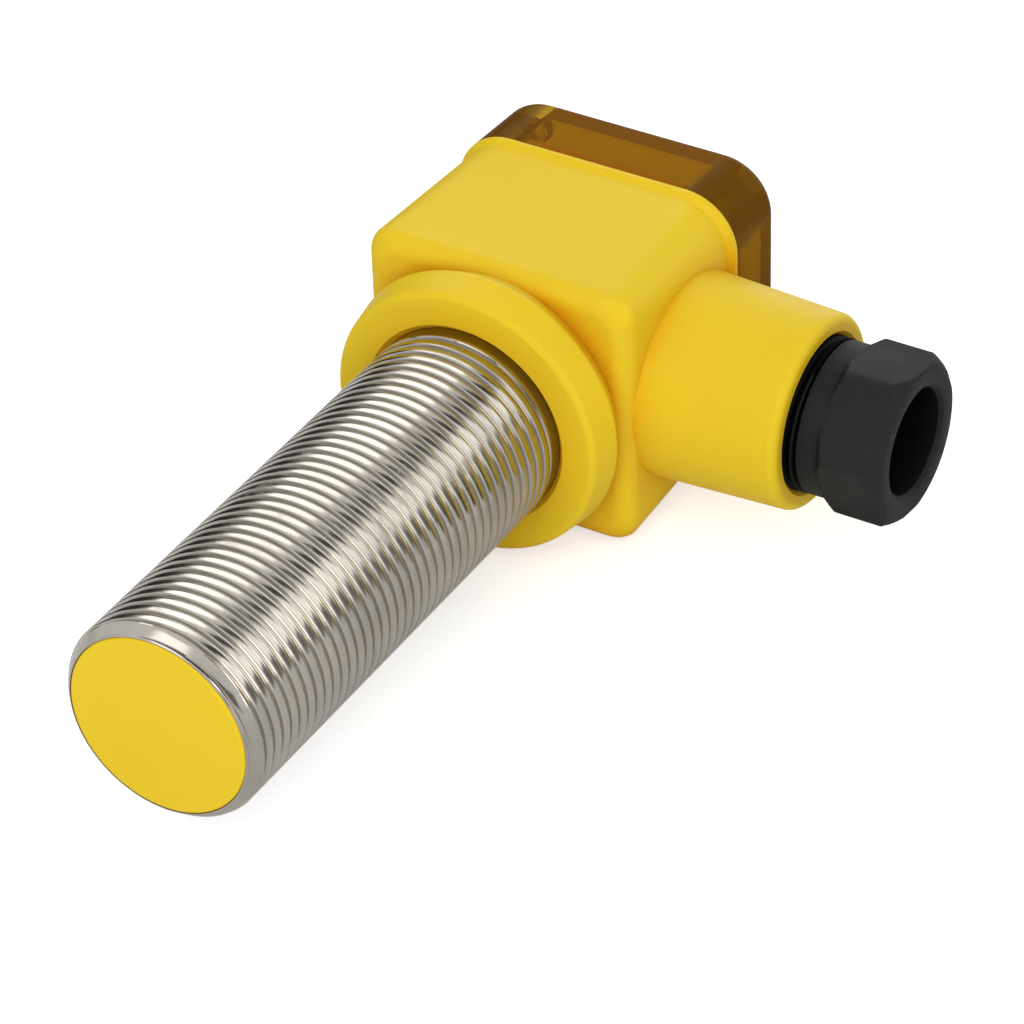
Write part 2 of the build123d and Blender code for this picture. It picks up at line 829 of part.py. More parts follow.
def build():
    """Every node by its name."""
    nodes = {
        "threaded_barrel": threaded_barrel(),
        "sensing_face_cap": sensing_face_cap(),
        "ferrite_core": ferrite_core(),
        "coil_bobbin": coil_bobbin(),
        "sensing_coil": sensing_coil(),
        "core_carrier": core_carrier(),
        "circuit_board": circuit_board(),
        "oscillator_chip": oscillator_chip(),
        "trimmer": trimmer(),
        "smoothing_capacitor": smoothing_capacitor(),
        "output_transistor": output_transistor(),
        "protection_diodes": protection_diodes(),
        "rear_plug": rear_plug(),
        "link_pins": link_pins(),
        "barrel_o_ring": barrel_o_ring(),
        "retaining_ring": retaining_ring(),
        "terminal_housing": terminal_housing(),
        "terminal_board": terminal_board(),
        "terminal_block": terminal_block(),
        "power_lamp": lamp(lamp_x, lamp_z),
        "switch_lamp": lamp(lamp_x, -lamp_z),
        "cover_gasket": cover_gasket(),
        "clear_cover": clear_cover(),
        "cable_seal": cable_seal(),
        "thrust_washer": thrust_washer(),
        "gland_screw": gland_screw(),
    }
    for i, (x, z) in enumerate(board_screw_places):
        nodes[f"board_screw_{i + 1}"] = board_screw(x, z)
    for i, (sx, sz) in enumerate(corners):
        nodes[f"cover_screw_{i + 1}"] = cover_screw(sx, sz)
    for i, z in enumerate(pole_places):
        nodes[f"terminal_clamp_{i + 1}"] = terminal_clamp(z)
        nodes[f"terminal_screw_{i + 1}"] = terminal_screw(z)
    return nodes


os.makedirs("parts", exist_ok=True)
for name, solid in build().items():
    export_step(solid, f"parts/{name}.step")
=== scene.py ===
"""Looks of the inductive proximity sensor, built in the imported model's frame, in metres."""
import math

import bmesh
import bpy
from mathutils import Matrix, Vector


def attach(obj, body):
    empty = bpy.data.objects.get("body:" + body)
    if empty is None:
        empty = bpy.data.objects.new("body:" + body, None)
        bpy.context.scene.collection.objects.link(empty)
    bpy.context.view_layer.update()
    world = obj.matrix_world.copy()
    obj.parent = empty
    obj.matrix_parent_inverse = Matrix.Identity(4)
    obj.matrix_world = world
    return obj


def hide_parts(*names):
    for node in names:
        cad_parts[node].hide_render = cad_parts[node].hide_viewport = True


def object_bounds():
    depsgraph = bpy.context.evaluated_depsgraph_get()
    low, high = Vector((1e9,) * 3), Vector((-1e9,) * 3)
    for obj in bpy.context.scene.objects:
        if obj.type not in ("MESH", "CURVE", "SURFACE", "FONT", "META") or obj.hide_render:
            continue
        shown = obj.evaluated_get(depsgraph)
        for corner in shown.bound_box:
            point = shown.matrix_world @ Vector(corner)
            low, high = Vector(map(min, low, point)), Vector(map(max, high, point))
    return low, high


bl_info = {
    "name": "Proximity sensor looks",
    "version": (1, 0, 0),
    "blender": (4, 5, 0),
    "location": "3D View > Sidebar > Sensor",
    "description": "Dresses the packed sensor with threads, finishes, floor and light",
    "category": "Object",
}

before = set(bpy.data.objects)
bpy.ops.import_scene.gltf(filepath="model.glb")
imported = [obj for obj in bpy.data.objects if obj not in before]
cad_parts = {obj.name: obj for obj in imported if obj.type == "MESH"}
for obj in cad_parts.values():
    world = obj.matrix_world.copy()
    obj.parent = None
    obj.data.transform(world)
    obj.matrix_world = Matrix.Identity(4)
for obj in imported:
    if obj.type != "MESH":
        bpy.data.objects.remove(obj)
cad_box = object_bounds()
MM = 0.001
PART_MIDDLE = Vector((0, 0.06, 0))
COVER_SCREWS = [f"cover_screw_{i}" for i in range(1, 5)]
CLAMPS = [f"terminal_clamp_{i}" for i in range(1, 5)]
TERMINAL_SCREWS = [f"terminal_screw_{i}" for i in range(1, 5)]


# Sizes and colours that a user would change

class SensorSizes(bpy.types.PropertyGroup):
    thread_pitch: bpy.props.FloatProperty(
        name="Thread pitch", description="Pitch of the barrel thread", default=2.0 * MM, unit="LENGTH")
    thread_depth: bpy.props.FloatProperty(
        name="Thread depth", description="Depth of the barrel thread", default=0.34 * MM, unit="LENGTH")
    gland_pitch: bpy.props.FloatProperty(
        name="Gland pitch", description="Pitch of the gland thread", default=1.4111 * MM, unit="LENGTH")
    around: bpy.props.IntProperty(
        name="Segments", description="Segments round a turned piece", default=144, subtype="UNSIGNED")


class SensorColours(bpy.types.PropertyGroup):
    yellow: bpy.props.FloatVectorProperty(
        name="Yellow plastic", description="Housing and sensing face", subtype="COLOR",
        default=(0.79, 0.56, 0.020))
    amber: bpy.props.FloatVectorProperty(
        name="Amber plastic", description="Body of the see-through cover", subtype="COLOR",
        default=(0.38, 0.155, 0.003))
    amber_clear: bpy.props.FloatVectorProperty(
        name="Amber clear", description="Tint of what is seen through the cover", subtype="COLOR",
        default=(0.99, 0.87, 0.24))
    nickel: bpy.props.FloatVectorProperty(
        name="Nickel plating", description="Barrel", subtype="COLOR",
        default=(0.47, 0.44, 0.39))
    gland_black: bpy.props.FloatVectorProperty(
        name="Gland black", description="Gland screw", subtype="COLOR",
        default=(0.024, 0.024, 0.024))


# Shader helpers

def put(tree, kind, values=None, **settings):
    """A new node with its settings, and constants set on its own sockets."""
    node = tree.nodes.new(kind)
    for name, value in settings.items():
        setattr(node, name, value)
    for socket, value in (values or {}).items():
        node.inputs[socket].default_value = value
    return node


def open_group(name, inputs, outputs):
    """An empty shader node group with named sockets."""
    tree = bpy.data.node_groups.new(name, "ShaderNodeTree")
    for label, kind, value in inputs:
        socket = tree.interface.new_socket(label, in_out="INPUT", socket_type=kind)
        socket.default_value = value
    for label, kind in outputs:
        tree.interface.new_socket(label, in_out="OUTPUT", socket_type=kind)
    return tree, tree.nodes.new("NodeGroupInput"), tree.nodes.new("NodeGroupOutput")


def grain_group():
    """Fine moulded or cast grain: a height, a patchy mask and a tinted colour."""
    tree, start, end = open_group(
        "Fine grain",
        [("Color", "NodeSocketColor", (0.5, 0.5, 0.5, 1)),
         ("Dark Color", "NodeSocketColor", (0.3, 0.3, 0.3, 1)),
         ("Grain Scale", "NodeSocketFloat", 2500.0),
         ("Patch Scale", "NodeSocketFloat", 60.0)],
        [("Color", "NodeSocketColor"), ("Height", "NodeSocketFloat"), ("Patches", "NodeSocketFloat")])
    links = tree.links
    place = put(tree, "ShaderNodeTexCoord")
    fine = put(tree, "ShaderNodeTexNoise", {"Detail": 3.0, "Roughness": 0.6})
    broad = put(tree, "ShaderNodeTexNoise", {"Detail": 4.0, "Roughness": 0.55})
    soften = put(tree, "ShaderNodeMapRange",
                 {"From Min": 0.35, "From Max": 0.75, "To Min": 0.0, "To Max": 1.0})
    tint = put(tree, "ShaderNodeMix", data_type="RGBA")
    for noise, scale in ((fine, "Grain Scale"), (broad, "Patch Scale")):
        links.new(place.outputs["Object"], noise.inputs["Vector"])
        links.new(start.outputs[scale], noise.inputs["Scale"])
    links.new(broad.outputs["Fac"], soften.inputs["Value"])
    links.new(soften.outputs["Result"], tint.inputs["Factor"])
    links.new(start.outputs["Color"], tint.inputs["A"])
    links.new(start.outputs["Dark Color"], tint.inputs["B"])
    links.new(tint.outputs["Result"], end.inputs["Color"])
    links.new(fine.outputs["Fac"], end.inputs["Height"])
    links.new(soften.outputs["Result"], end.inputs["Patches"])
    return tree


def scratch_group():
    """Handling marks: stretched fine lines and small dull spots, as a mask."""
    tree, start, end = open_group(
        "Handling marks",
        [("Line Scale", "NodeSocketFloat", 900.0), ("Spot Scale", "NodeSocketFloat", 220.0)],
        [("Marks", "NodeSocketFloat"), ("Spots", "NodeSocketFloat")])
    links = tree.links
    place = put(tree, "ShaderNodeTexCoord")
    stretch = put(tree, "ShaderNodeMapping", {"Scale": (1.0, 0.06, 0.35), "Rotation": (0.3, 0.2, 0.5)})
    lines = put(tree, "ShaderNodeTexNoise", {"Detail": 2.0, "Roughness": 0.7})
    spots = put(tree, "ShaderNodeTexNoise", {"Detail": 3.0, "Roughness": 0.6})
    line_cut = put(tree, "ShaderNodeMapRange", {"From Min": 0.62, "From Max": 0.72})
    spot_cut = put(tree, "ShaderNodeMapRange", {"From Min": 0.58, "From Max": 0.72})
    links.new(place.outputs["Object"], stretch.inputs["Vector"])
    links.new(stretch.outputs["Vector"], lines.inputs["Vector"])
    links.new(place.outputs["Object"], spots.inputs["Vector"])
    links.new(start.outputs["Line Scale"], lines.inputs["Scale"])
    links.new(start.outputs["Spot Scale"], spots.inputs["Scale"])
    links.new(lines.outputs["Fac"], line_cut.inputs["Value"])
    links.new(spots.outputs["Fac"], spot_cut.inputs["Value"])
    links.new(line_cut.outputs["Result"], end.inputs["Marks"])
    links.new(spot_cut.outputs["Result"], end.inputs["Spots"])
    return tree


def painted_crevice_shade_group():
    """Painted shade: narrow places that open light hardly reaches, as a mask for shade painted into a
    finish's colour.
    """
    tree, start, end = open_group(
        "Painted crevice shade", [("Distance", "NodeSocketFloat", 0.006), ("Full Below", "NodeSocketFloat", 0.25)],
        [("Mask", "NodeSocketFloat")])
    reach = put(tree, "ShaderNodeAmbientOcclusion", samples=6)
    cut = put(tree, "ShaderNodeMapRange", {"From Max": 0.9, "To Min": 1.0, "To Max": 0.0})
    tree.links.new(start.outputs["Distance"], reach.inputs["Distance"])
    tree.links.new(start.outputs["Full Below"], cut.inputs["From Min"])
    tree.links.new(reach.outputs["AO"], cut.inputs["Value"])
    tree.links.new(cut.outputs["Result"], end.inputs["Mask"])
    return tree


def shared(name, maker):
    """The named group, made at its first use."""
    return bpy.data.node_groups.get(name) or maker()


def open_material(name):
    """A material with only its Principled shader, and its tree."""
    material = bpy.data.materials.new(name)
    material.use_nodes = True
    tree = material.node_tree
    return material, tree, tree.nodes["Principled BSDF"]


def place_group(tree, group, values=None):
    """A group node in a material, with its own values."""
    node = tree.nodes.new("ShaderNodeGroup")
    node.node_tree = group
    for socket, value in (values or {}).items():
        node.inputs[socket].default_value = value
    return node


def solid_colour(rgb):
    return (rgb[0], rgb[1], rgb[2], 1.0)


def shade_of(rgb, factor):
    return (rgb[0] * factor, rgb[1] * factor, rgb[2] * factor, 1.0)


def grained(name, rgb, roughness, darker=0.88, grain=2500.0, patch=60.0, bump=0.05,
            bump_mm=0.02, metallic=0.0, rough_spread=0.08, coat=0.0, specular=0.4):
    """A finish with fine grain, patchy tint, handling marks and uneven gloss."""
    material, tree, shader = open_material(name)
    links = tree.links
    body = place_group(tree, shared("Fine grain", grain_group), {
        "Color": solid_colour(rgb), "Dark Color": shade_of(rgb, darker),
        "Grain Scale": grain, "Patch Scale": patch})
    marks = place_group(tree, shared("Handling marks", scratch_group))
    gloss = put(tree, "ShaderNodeMapRange", {
        "To Min": roughness - rough_spread, "To Max": roughness + rough_spread})
    worn = put(tree, "ShaderNodeMath", {1: 0.10}, operation="MULTIPLY_ADD")
    relief = put(tree, "ShaderNodeBump", {"Strength": bump, "Distance": bump_mm * MM})
    links.new(body.outputs["Patches"], gloss.inputs["Value"])
    links.new(marks.outputs["Marks"], worn.inputs[0])
    links.new(gloss.outputs["Result"], worn.inputs[2])
    links.new(worn.outputs["Value"], shader.inputs["Roughness"])
    links.new(body.outputs["Color"], shader.inputs["Base Color"])
    links.new(body.outputs["Height"], relief.inputs["Height"])
    links.new(relief.outputs["Normal"], shader.inputs["Normal"])
    shader.inputs["Metallic"].default_value = metallic
    shader.inputs["Coat Weight"].default_value = coat
    shader.inputs["Specular IOR Level"].default_value = specular
    return material


def paint_crevice_shade(material, rgb, distance, full_below=0.25):
    """Paint shade into a finish: mix a darker shade colour into its colour where light hardly reaches.
    """
    tree = material.node_tree
    colour = tree.nodes["Principled BSDF"].inputs["Base Color"]
    plain = colour.links[0].from_socket
    mask = place_group(tree, shared("Painted crevice shade", painted_crevice_shade_group), {
        "Distance": distance, "Full Below": full_below})
    mix = put(tree, "ShaderNodeMix", data_type="RGBA")
    mix.inputs["B"].default_value = solid_colour(rgb)
    tree.links.new(mask.outputs["Mask"], mix.inputs["Factor"])
    tree.links.new(plain, mix.inputs["A"])
    tree.links.new(mix.outputs["Result"], colour)


def nickel_plating(rgb):
    """Bright plated metal with fine turning lines round the barrel."""
    material, tree, shader = open_material("Nickel plating")
    links = tree.links
    place = put(tree, "ShaderNodeTexCoord")
    lines = put(tree, "ShaderNodeTexWave", {"Scale": 1500.0, "Distortion": 1.5, "Detail": 2.0},
                bands_direction="Y")
    body = place_group(tree, shared("Fine grain", grain_group), {
        "Color": solid_colour(rgb), "Dark Color": shade_of(rgb, 0.8),
        "Grain Scale": 1800.0, "Patch Scale": 110.0})
    marks = place_group(tree, shared("Handling marks", scratch_group))
    gloss = put(tree, "ShaderNodeMapRange", {"To Min": 0.15, "To Max": 0.24})
    worn = put(tree, "ShaderNodeMath", {1: 0.15}, operation="MULTIPLY_ADD")
    relief = put(tree, "ShaderNodeBump", {"Strength": 0.06, "Distance": 0.01 * MM})
    links.new(place.outputs["Object"], lines.inputs["Vector"])
    links.new(body.outputs["Patches"], gloss.inputs["Value"])
    links.new(marks.outputs["Spots"], worn.inputs[0])
    links.new(gloss.outputs["Result"], worn.inputs[2])
    links.new(worn.outputs["Value"], shader.inputs["Roughness"])
    links.new(body.outputs["Color"], shader.inputs["Base Color"])
    links.new(lines.outputs["Fac"], relief.inputs["Height"])
    links.new(relief.outputs["Normal"], shader.inputs["Normal"])
    shader.inputs["Metallic"].default_value = 1.0
    return material


def smooth_step(tree, value, low, high, at_low, at_high):
    """A value that runs smoothly from at_low to at_high while value runs from low to high."""
    step = put(tree, "ShaderNodeMapRange", {"From Min": low, "From Max": high, "To Min": at_low,
                                            "To Max": at_high}, interpolation_type="SMOOTHSTEP")
    tree.links.new(value, step.inputs["Value"])
    return step.outputs["Result"]


def corner_reach(tree, parts):
    """How far out a point lies towards the cover's corners: its offsets to the side and up, added."""
    across = put(tree, "ShaderNodeMath", operation="ABSOLUTE")
    upward = put(tree, "ShaderNodeMath", operation="ABSOLUTE")
    reach = put(tree, "ShaderNodeMath", operation="ADD")
    tree.links.new(parts.outputs["X"], across.inputs[0])
    tree.links.new(parts.outputs["Z"], upward.inputs[0])
    tree.links.new(across.outputs[0], reach.inputs[0])
    tree.links.new(upward.outputs[0], reach.inputs[1])
    return reach.outputs[0]


def amber_plastic(rgb, clear_rgb):
    """Murky amber moulding: a satin body mixed with clear refraction. Its solid corners and
    back plate let less through than its thin walls."""
    corner_from = 34.5 * MM
    corner_to = 36.2 * MM
    plate_from = 121.4 * MM
    plate_to = 122.2 * MM
    wall_clear = 0.67
    corner_clear = 0.17
    plate_share = 0.82
    corner_shade = 0.40
    material, tree, shader = open_material("Amber plastic")
    links = tree.links
    body = place_group(tree, shared("Fine grain", grain_group), {
        "Color": solid_colour(rgb), "Dark Color": shade_of(rgb, 0.85),
        "Grain Scale": 300.0, "Patch Scale": 45.0})
    marks = place_group(tree, shared("Handling marks", scratch_group))
    gloss = put(tree, "ShaderNodeMapRange", {"To Min": 0.32, "To Max": 0.45})
    relief = put(tree, "ShaderNodeBump", {"Strength": 0.01, "Distance": 0.02 * MM})
    links.new(marks.outputs["Marks"], gloss.inputs["Value"])
    links.new(gloss.outputs["Result"], shader.inputs["Roughness"])
    links.new(body.outputs["Height"], relief.inputs["Height"])
    links.new(relief.outputs["Normal"], shader.inputs["Normal"])
    shader.inputs["Specular IOR Level"].default_value = 0.02
    place = put(tree, "ShaderNodeTexCoord")
    parts = put(tree, "ShaderNodeSeparateXYZ")
    links.new(place.outputs["Object"], parts.inputs["Vector"])
    reach = corner_reach(tree, parts)
    deep = put(tree, "ShaderNodeMix", {"B": shade_of(rgb, corner_shade)}, data_type="RGBA")
    links.new(smooth_step(tree, reach, corner_from, corner_to, 0.0, 1.0), deep.inputs["Factor"])
    links.new(body.outputs["Color"], deep.inputs["A"])
    links.new(deep.outputs["Result"], shader.inputs["Base Color"])
    walls = smooth_step(tree, reach, corner_from, corner_to, wall_clear, corner_clear)
    plate = smooth_step(tree, parts.outputs["Y"], plate_from, plate_to, 1.0, plate_share)
    seen = put(tree, "ShaderNodeMath", operation="MULTIPLY")
    links.new(walls, seen.inputs[0])
    links.new(plate, seen.inputs[1])
    clear = put(tree, "ShaderNodeBsdfRefraction", {"Color": solid_colour(clear_rgb), "IOR": 1.5,
                                                   "Roughness": 0.02})
    mix = put(tree, "ShaderNodeMixShader")
    links.new(seen.outputs[0], mix.inputs["Fac"])
    links.new(shader.outputs["BSDF"], mix.inputs[1])
    links.new(clear.outputs["BSDF"], mix.inputs[2])
    links.new(mix.outputs["Shader"], tree.nodes["Material Output"].inputs["Surface"])
    return material


def paint(node, material):
    """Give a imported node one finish."""
    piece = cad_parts[node]
    for place in piece.material_slots:
        place.material = material
    if not piece.material_slots:
        raise RuntimeError(f"{node} has no material slot")


# Mesh helpers

def finish_mesh(name, points, faces, body, node, material, sharp_deg=32.0):
    """Weld, orient and shade a mesh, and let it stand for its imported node."""
    mesh = bpy.data.meshes.new(name)
    mesh.from_pydata(points, [], faces)
    mesh.validate()
    piece = bpy.data.objects.new(name, mesh)
    bpy.context.scene.collection.objects.link(piece)
    work = bmesh.new()
    work.from_mesh(mesh)
    bmesh.ops.remove_doubles(work, verts=work.verts, dist=0.002 * MM)
    bmesh.ops.dissolve_degenerate(work, edges=work.edges, dist=0.001 * MM)
    bmesh.ops.recalc_face_normals(work, faces=work.faces)
    work.to_mesh(mesh)
    work.free()
    mesh.shade_smooth()
    mesh.set_sharp_from_angle(angle=math.radians(sharp_deg))
    mesh.materials.append(material)
    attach(piece, body)
    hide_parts(node)
    return piece


def turned_faces(row_count, around):
    """Quads between the rows of a turned grid. Each row has a last point that meets
    the first one, or the next turn's in a thread, and welding joins them."""
    wide = around + 1
    faces = []
    for row in range(row_count):
        above = (row + 1) % row_count
        for i in range(around):
            faces.append((row * wide + i, row * wide + i + 1, above * wide + i + 1, above * wide + i))
    return faces


def thread_rows(start, end, end_radius, pitch, shape, around):
    """Rows of (position, radius) for an outside thread. shape gives (share of the
    pitch, radius) pairs, each row climbs one pitch a turn, and the ends close in."""
    rows = []
    turns = int((end - start) / pitch) + 2
    for turn in range(-1, turns):
        for share, radius in shape:
            row = []
            for i in range(around + 1):
                at = start + (turn + share + i / around) * pitch
                inside = start < at < end
                row.append((min(max(at, start), end), radius if inside else end_radius))
            rows.append(row)
    return rows


def plain_rows(outline, around):
    """Rows of a plain turned outline of (position, radius) pairs."""
    return [[place] * (around + 1) for place in outline]


def turned_points(rows, around, place):
    """Points of turned rows. place makes a point of the position along the axis and the
    two offsets from it."""
    points = []
    for row in rows:
        for i, (along, r) in enumerate(row):
            turn = 2 * math.pi * i / around
            points.append(place(along, r * math.sin(turn), r * math.cos(turn)))
    return points


# Pieces

class SENSOR_OT_barrel(bpy.types.Operator):
    """Plated barrel with its real helical thread"""
    bl_idname = "sensor.barrel"
    bl_label = "Threaded barrel"

    crest = 15.0
    front_end = 0.2
    chamfer_start_r = 13.6
    chamfer_gain = 0.88
    thread_foot_r = 13.52
    cap_seat = 2.8
    cap_seat_r = 13.45

    def execute(self, context):
        sizes = context.scene.sensor_sizes
        around = sizes.around
        root = self.crest - sizes.thread_depth / MM
        thread_start = 0.35
        thread_end = 74.6
        front = [(self.cap_seat, self.cap_seat_r), (self.front_end, self.cap_seat_r),
                 (self.front_end, self.chamfer_start_r), (thread_start, 13.73)]
        rows = plain_rows(front, around)
        for row in thread_rows(thread_start, thread_end, root, sizes.thread_pitch / MM,
                               self.thread_shape(root), around):
            rows.append([self.over_chamfer(y, r) for y, r in row])
        rows += plain_rows(self.back_outline(), around)
        points = turned_points(rows, around, lambda y, u, v: (u * MM, y * MM, v * MM))
        faces = turned_faces(len(rows), around)
        finish_mesh("barrel_with_thread", points, faces, "sensor", "threaded_barrel",
                    nickel_plating(context.scene.sensor_colours.nickel), sharp_deg=20.0)
        return {"FINISHED"}

    def thread_shape(self, root):
        """One pitch of the thread as (share, radius) pairs: a low land between two roots. land
        holds how far its points drop below the crest."""
        land = [(0.05, 0.075), (0.12, 0.014), (0.20, 0.0), (0.50, 0.005), (0.60, 0.025),
                (0.70, 0.075), (0.78, 0.14), (0.84, 0.21)]
        return [(0.0, root)] + [(share, self.crest - drop) for share, drop in land] + [(0.90, root)]

    def over_chamfer(self, y, r):
        """A point of the thread, cut back where it runs over the front chamfer."""
        cut = max(0.0, self.crest - self.chamfer_start_r - (y - self.front_end) * self.chamfer_gain)
        return y, max(self.thread_foot_r, r - cut)

    def back_outline(self):
        """Neck, spigot with the O-ring's groove, and the bore back to the cap's seat. The
        retaining ring's groove, hidden in the housing, isn't cut here."""
        neck_r = 14.75
        spigot_start = 80.0
        spigot_end = 92.5
        spigot_r = 13.9
        o_ring_start = 81.8
        o_ring_end = 83.6
        o_ring_r = 12.6
        rear_bore_r = 11.8
        bore_r = 13.0
        return [(74.8, 14.5), (75.0, neck_r), (spigot_start, neck_r), (spigot_start, spigot_r),
                (o_ring_start, spigot_r), (o_ring_start, o_ring_r), (o_ring_end, o_ring_r),
                (o_ring_end, spigot_r), (spigot_end, spigot_r), (spigot_end, rear_bore_r),
                (69.2, rear_bore_r), (68.0, bore_r), (self.cap_seat, bore_r)]


class SENSOR_OT_gland(bpy.types.Operator):
    """Black gland screw with thread, neck and hexagon head"""
    bl_idname = "sensor.gland"
    bl_label = "Gland screw"

    axis_y = 101.9
    inner_end = 34.5
    head_start = 47.3
    head_end = 57.0

    def execute(self, context):
        sizes = context.scene.sensor_sizes
        around = sizes.around
        crest = 11.18
        root = 10.35
        neck_r = 11.05
        bore_r = 7.75
        inner_mouth_r = 9.75
        shape = [(0.0, crest), (0.2, crest), (0.5, root), (0.7, root)]
        rows = plain_rows([(self.inner_end, inner_mouth_r), (self.inner_end, 10.2)], around)
        for row in thread_rows(34.6, 43.6, root, sizes.gland_pitch / MM, shape, around):
            rows.append([(x, min(r, 10.3 + (x - self.inner_end) * 0.9)) for x, r in row])
        rows += plain_rows([(43.7, 10.4), (44.0, neck_r), (self.head_start, neck_r)], around)
        rows += self.head_rows(around)
        bore = [(self.head_end, 8.9), (56.85, 8.3), (56.3, bore_r), (35.7, bore_r),
                (self.inner_end, inner_mouth_r)]
        rows += plain_rows(bore, around)
        points = turned_points(rows, around,
                               lambda x, u, v: (x * MM, (self.axis_y - v) * MM, u * MM))
        faces = turned_faces(len(rows), around)
        black = grained("Gland plastic", context.scene.sensor_colours.gland_black, 0.56,
                        darker=0.75, grain=3200.0, bump=0.9, bump_mm=0.06, specular=0.05)
        # Painted shade: near-black shade painted into the gland's crevices and bore.
        paint_crevice_shade(black, (0.001, 0.001, 0.001), 0.016, full_below=0.60)
        finish_mesh("gland_screw_threaded", points, faces, "gland_head", "gland_screw",
                    black, sharp_deg=28.0)
        return {"FINISHED"}

    def head_rows(self, around):
        """Rows of the hexagon head, turned off at the back and rounded off at the front."""
        steps = 40
        half_across = 11.0
        corner_r = 12.45
        back_r = 11.35
        front_r = 10.6
        front_length = 1.7
        hex_turn = math.radians(37.0)
        rows = []
        for step in range(steps + 1):
            x = self.head_start + (self.head_end - self.head_start) * step / steps
            from_back = x - self.head_start
            from_front = self.head_end - x
            rounding = min(1.0, from_front / front_length) ** 0.6
            front_limit = front_r + (corner_r - front_r) * rounding
            limit = min(corner_r, back_r + 1.1 * from_back, front_limit)
            row = []
            for i in range(around + 1):
                turn = 2 * math.pi * i / around
                local = (turn - hex_turn + math.pi / 6) % (math.pi / 3) - math.pi / 6
                row.append((x, min(limit, half_across / math.cos(local))))
            rows.append(row)
        return rows


class SENSOR_OT_housing(bpy.types.Operator):
    """Yellow mouldings: terminal housing and sensing face"""
    bl_idname = "sensor.housing"
    bl_label = "Housing and sensing face"

    def execute(self, context):
        rgb = context.scene.sensor_colours.yellow
        yellow = grained("Yellow plastic", rgb, 0.47, darker=0.95, grain=2800.0, patch=35.0,
                         bump=0.12, bump_mm=0.02, specular=0.10)
        # Painted shade: a darker orange painted into the yellow's crevices and recesses, as the warm
        # colour of its shadows.
        paint_crevice_shade(yellow, (0.70, 0.36, 0.006), 0.007)
        paint("terminal_housing", yellow)
        paint("sensing_face_cap", yellow)
        return {"FINISHED"}


class SENSOR_OT_cover(bpy.types.Operator):
    """Amber cover with its gasket and screws"""
    bl_idname = "sensor.cover"
    bl_label = "Cover, gasket and screws"

    def execute(self, context):
        colours = context.scene.sensor_colours
        paint("clear_cover", amber_plastic(colours.amber, colours.amber_clear))
        paint("cover_gasket", grained("Red silicone", (0.42, 0.085, 0.03), 0.62, bump=0.15))
        zinc = grained("Zinc plating", (0.60, 0.60, 0.58), 0.30, metallic=1.0, grain=1200.0)
        for node in COVER_SCREWS + TERMINAL_SCREWS:
            paint(node, zinc)
        for node in ("board_screw_1", "board_screw_2", "thrust_washer"):
            paint(node, zinc)
        return {"FINISHED"}


class SENSOR_OT_inside(bpy.types.Operator):
    """Boards, block, lamps, coil, core and seals"""
    bl_idname = "sensor.inside"
    bl_label = "Pieces inside"

    def execute(self, context):
        board = grained("Green board", (0.015, 0.15, 0.06), 0.28, grain=1400.0, patch=300.0, coat=0.4)
        black = grained("Black moulding", (0.025, 0.025, 0.028), 0.5, bump=0.15)
        chip = grained("Chip package", (0.018, 0.018, 0.02), 0.42, bump=0.1)
        rubber = grained("Black rubber", (0.018, 0.018, 0.018), 0.72, darker=0.7, bump=0.3)
        tinned = grained("Tin plating", (0.62, 0.62, 0.60), 0.34, metallic=1.0, grain=1500.0)
        finishes = {
            "circuit_board": board, "terminal_board": board,
            "core_carrier": black, "rear_plug": black,
            "oscillator_chip": chip, "output_transistor": chip, "protection_diodes": chip,
            "barrel_o_ring": rubber, "cable_seal": rubber, "link_pins": tinned,
            "terminal_block": grained("Grey moulding", (0.28, 0.30, 0.30), 0.45, bump=0.12),
            "coil_bobbin": grained("White moulding", (0.72, 0.71, 0.66), 0.5, bump=0.1),
            "trimmer": grained("Blue moulding", (0.03, 0.11, 0.38), 0.35),
            "ferrite_core": grained("Ferrite", (0.05, 0.05, 0.054), 0.6, bump=0.4, bump_mm=0.04),
            "sensing_coil": grained("Copper winding", (0.55, 0.20, 0.08), 0.3, metallic=1.0,
                                    grain=5000.0, bump=0.5, bump_mm=0.06),
            "smoothing_capacitor": grained("Capacitor can", (0.55, 0.56, 0.58), 0.3, metallic=1.0),
            "retaining_ring": grained("Spring steel", (0.12, 0.12, 0.125), 0.38, metallic=1.0),
            "power_lamp": grained("Green lamp", (0.03, 0.45, 0.10), 0.15, coat=0.5),
            "switch_lamp": grained("Yellow lamp", (0.75, 0.45, 0.04), 0.15, coat=0.5),
        }
        for node in CLAMPS:
            finishes[node] = tinned
        for node, finish in finishes.items():
            paint(node, finish)
        return {"FINISHED"}


def turned_to(place, facing):
    """Matrix of a lamp or card at a place, with its back along a direction."""
    return Matrix.Translation(place) @ facing.to_track_quat("Z", "Y").to_matrix().to_4x4()


